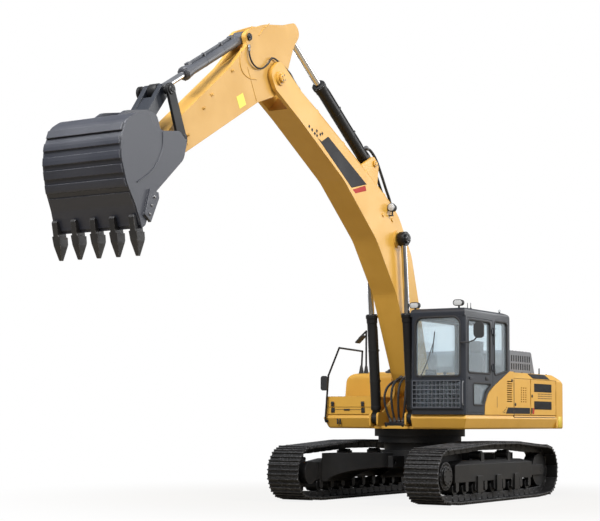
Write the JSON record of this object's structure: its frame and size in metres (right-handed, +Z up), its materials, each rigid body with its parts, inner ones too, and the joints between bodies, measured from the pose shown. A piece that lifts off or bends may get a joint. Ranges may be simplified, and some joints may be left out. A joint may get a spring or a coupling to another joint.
{
  "type": "crawler excavator",
  "caption": "Crawler excavator with a slewing platform, cab, boom, stick and toothed bucket worked by hydraulic cylinders, on two shoe tracks.",
  "frame": {"origin": "middle of the overall box in X and Y, on the ground under the track shoes", "axes": "+X forward towards the bucket, +Y to the left (cab side), +Z up"},
  "size_m": [12.7796, 3.41, 7.4642],
  "materials": {
    "yellow_paint": "gloss",
    "cab_paint": "satin",
    "dark_paint": "satin",
    "track_steel": "rough",
    "bucket_steel": "satin",
    "bright_rod": "polished",
    "pane": "clear",
    "chair_fabric": "matt",
    "dark_plastic": "matt",
    "tooth_steel": "rough"
  },
  "bodies": {
    "undercarriage": {"car_body": "dark_paint", "slew_bearing": "dark_paint", "track_frame_left": "dark_paint", "track_frame_right": "dark_paint", "track_left": "track_steel", "track_right": "track_steel", "sprockets": "track_steel", "travel_motors": "dark_paint", "idlers": "track_steel", "bottom_rollers": "track_steel", "carrier_rollers": "track_steel"},
    "upper": {"main_frame": "yellow_paint", "slew_ring_top": "dark_paint", "counterweight": "yellow_paint", "engine_block": "dark_paint", "bay_frame": "yellow_paint", "side_cover": "yellow_paint", "fuel_tank": "yellow_paint", "oil_tank": "yellow_paint", "toolbox": "yellow_paint", "handrails": "dark_paint", "mirrors": "dark_paint", "lamps": "pane", "cab_frame": "cab_paint", "cab_roof": "cab_paint", "cab_glass": "pane", "cab_guard": "dark_paint", "operator_chair": "chair_fabric", "cab_consoles": "dark_plastic"},
    "cab_door": {"cab_door": "cab_paint", "door_glass": "pane"},
    "bucket": {"bucket": "bucket_steel", "bucket_teeth": "tooth_steel"},
    "boom_barrels": {"boom_barrels": "dark_paint"},
    "boom_rods": {"boom_rods": "bright_rod"},
    "arm_barrel": {"arm_barrel": "dark_paint"},
    "arm_rod": {"arm_rod": "bright_rod"},
    "stick": {"stick": "yellow_paint"},
    "bucket_barrel": {"bucket_barrel": "dark_paint"},
    "bucket_rod": {"bucket_rod": "bright_rod"},
    "side_links": {"side_links": "dark_paint"},
    "bucket_link": {"bucket_link": "dark_paint"},
    "left_front_door": {"left_front_door": "yellow_paint"},
    "left_rear_door": {"left_rear_door": "yellow_paint"},
    "right_door": {"right_door": "yellow_paint"},
    "hood": {"hood": "dark_paint"},
    "toolbox_lid": {"toolbox_lid": "yellow_paint"},
    "boom": {"boom": "yellow_paint"}
  },
  "joints": [
    {"name": "slew", "type": "hinge", "parent": "undercarriage", "child": "upper", "pos_m": [-2.96975, -0.11, 1.092], "axis": [0, 0, 1], "continuous": true},
    {"name": "boom_raise", "type": "hinge", "parent": "upper", "child": "boom", "pos_m": [-2.71975, -0.11, 1.95], "axis": [0, -1, 0], "range_deg": [-83, 17]},
    {"name": "boom_barrel_swing", "type": "hinge", "parent": "upper", "child": "boom_barrels", "pos_m": [-1.99975, -0.11, 1.4], "axis": [0, -1, 0], "range_deg": [-84.5, 17.7]},
    {"name": "boom_rod_slide", "type": "slide", "parent": "boom_barrels", "child": "boom_rods", "axis": [0.1008, 0, 0.9949], "range_m": [-1.1426, 0.2372]},
    {"name": "stick_crowd", "type": "hinge", "parent": "boom", "child": "stick", "pos_m": [2.09025, -0.11, 6.49], "axis": [0, 1, 0], "range_deg": [-50, 68]},
    {"name": "arm_barrel_swing", "type": "hinge", "parent": "boom", "child": "arm_barrel", "pos_m": [-1.01975, -0.11, 5.67], "axis": [0, -1, 0], "range_deg": [-3.02, 2.35]},
    {"name": "arm_rod_slide", "type": "slide", "parent": "arm_barrel", "child": "arm_rod", "axis": [0.839, 0, 0.5441], "range_m": [-0.7161, 0.9724]},
    {"name": "bucket_curl", "type": "hinge", "parent": "stick", "child": "bucket", "pos_m": [4.87025, -0.11, 4.92], "axis": [0, 1, 0], "range_deg": [-45, 118]},
    {"name": "side_link_swing", "type": "hinge", "parent": "stick", "child": "side_links", "pos_m": [4.58025, -0.11, 5.16], "axis": [0, 1, 0], "range_deg": [-33.62, 87.35]},
    {"name": "bucket_link_swing", "type": "hinge", "parent": "side_links", "child": "bucket_link", "pos_m": [4.85025, -0.11, 5.78], "axis": [0, 1, 0], "range_deg": [-37.32, 14.54]},
    {"name": "bucket_barrel_swing", "type": "hinge", "parent": "stick", "child": "bucket_barrel", "pos_m": [2.83025, -0.11, 6.97], "axis": [0, 1, 0], "range_deg": [-2.94, 6.91]},
    {"name": "bucket_rod_slide", "type": "slide", "parent": "bucket_barrel", "child": "bucket_rod", "axis": [0.8616, 0, -0.5076], "range_m": [-0.3431, 0.8931]},
    {"name": "cab_door_swing", "type": "hinge", "parent": "upper", "child": "cab_door", "pos_m": [-2.85175, 1.386, 2.3], "axis": [0, 0, 1], "range_deg": [0, 165]},
    {"name": "left_front_door_swing", "type": "hinge", "parent": "upper", "child": "left_front_door", "pos_m": [-4.50275, 1.352, 1.8], "axis": [0, 0, 1], "range_deg": [0, 90]},
    {"name": "left_rear_door_swing", "type": "hinge", "parent": "upper", "child": "left_rear_door", "pos_m": [-5.71775, 1.352, 1.8], "axis": [0, 0, 1], "range_deg": [0, 90]},
    {"name": "right_door_swing", "type": "hinge", "parent": "upper", "child": "right_door", "pos_m": [-5.71775, -1.572, 1.8], "axis": [0, 0, -1], "range_deg": [0, 90]},
    {"name": "hood_lift", "type": "hinge", "parent": "upper", "child": "hood", "pos_m": [-4.42775, -0.11, 2.262], "axis": [0, 1, 0], "range_deg": [0, 60]},
    {"name": "toolbox_lid_lift", "type": "hinge", "parent": "upper", "child": "toolbox_lid", "pos_m": [-2.77775, -1.085, 1.786], "axis": [0, -1, 0], "range_deg": [0, 80]}
  ],
  "couplings": [
    {"joint": "boom_barrel_swing", "follows": "boom_raise", "ratio": 1.012},
    {"joint": "boom_rod_slide", "follows": "boom_raise", "m_per_rad": 0.786},
    {"joint": "arm_barrel_swing", "follows": "stick_crowd", "ratio": -0.037},
    {"joint": "arm_rod_slide", "follows": "stick_crowd", "m_per_rad": 0.816},
    {"joint": "side_link_swing", "follows": "bucket_curl", "ratio": 0.736},
    {"joint": "bucket_link_swing", "follows": "bucket_curl", "ratio": -0.312},
    {"joint": "bucket_barrel_swing", "follows": "bucket_curl", "ratio": 0.0543},
    {"joint": "bucket_rod_slide", "follows": "bucket_curl", "m_per_rad": 0.4317}
  ]
}
